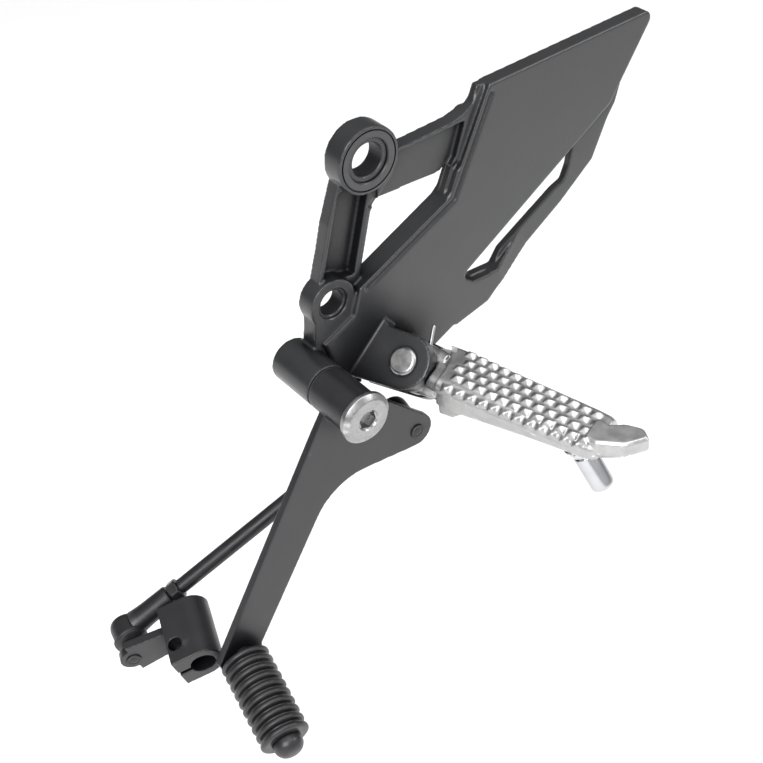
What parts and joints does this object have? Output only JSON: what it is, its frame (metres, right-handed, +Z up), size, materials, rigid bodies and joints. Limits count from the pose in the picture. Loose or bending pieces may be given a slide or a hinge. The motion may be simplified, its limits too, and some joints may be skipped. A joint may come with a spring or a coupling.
{
  "type": "motorcycle footrest assembly",
  "caption": "Left-hand motorcycle footrest: black cast bracket with heel guard, folding toothed peg, shift lever with ribbed toe peg, and link rod with clamp arm.",
  "frame": {"origin": "centre of the upper mounting bore, on the inboard face of its boss", "axes": "-Y outboard along the mounting bores, +X to the rear, +Z up"},
  "size_m": [0.3037, 0.1674, 0.2661],
  "materials": {
    "black_casting": "satin black paint on a fine cast surface",
    "black_steel": "satin black coat",
    "cast_aluminium": "fine sand-cast, bead blasted",
    "chrome": "polished chrome",
    "zinc_steel": "bright zinc plate",
    "rubber": "moulded black rubber"
  },
  "bodies": {
    "bracket": {"bracket_casting": "black_casting", "peg_pivot_pin": "zinc_steel", "peg_pin_washer": "zinc_steel", "peg_pin_clip": "zinc_steel", "peg_return_spring": "zinc_steel", "pivot_bolt": "zinc_steel", "pivot_bush": "zinc_steel", "pivot_washer": "black_steel", "pivot_seal_inner": "rubber", "pivot_seal_outer": "rubber"},
    "peg": {"foot_peg": "cast_aluminium", "peg_feeler": "chrome"},
    "lever": {"shift_lever": "black_steel", "toe_spigot": "black_steel", "toe_rubber": "rubber", "upper_ball_stud": "black_steel"},
    "link_rod": {"shift_rod": "black_steel", "upper_ball_socket": "black_steel", "lower_ball_socket": "black_steel", "upper_boot": "rubber", "lower_boot": "rubber", "upper_lock_nut": "black_steel", "lower_lock_nut": "black_steel"},
    "arm": {"shift_arm": "black_steel", "lower_ball_stud": "black_steel"}
  },
  "joints": [
    {"name": "peg_fold", "type": "hinge", "parent": "bracket", "child": "peg", "pos_m": [0.0138, -0.029, -0.1041], "axis": [-0.723, -0.1961, 0.6624], "range_deg": [0, 70], "stiffness_Nm_per_rad": 0.2, "springref_deg": -20.05, "deforming": ["peg_return_spring"]},
    {"name": "lever_swing", "type": "hinge", "parent": "bracket", "child": "lever", "pos_m": [-0.035, -0.038, -0.095], "axis": [0, 1, 0], "range_deg": [0, 60]},
    {"name": "rod_swing", "type": "hinge", "parent": "lever", "child": "link_rod", "pos_m": [0.0072, -0.0205, -0.1334], "axis": [0, -1, 0], "range_deg": [-15, 15]},
    {"name": "arm_swing", "type": "hinge", "parent": "link_rod", "child": "arm", "pos_m": [-0.126, 0.02, -0.228], "axis": [-0.3395, -0.9286, -0.1498], "range_deg": [-30, 30]}
  ]
}
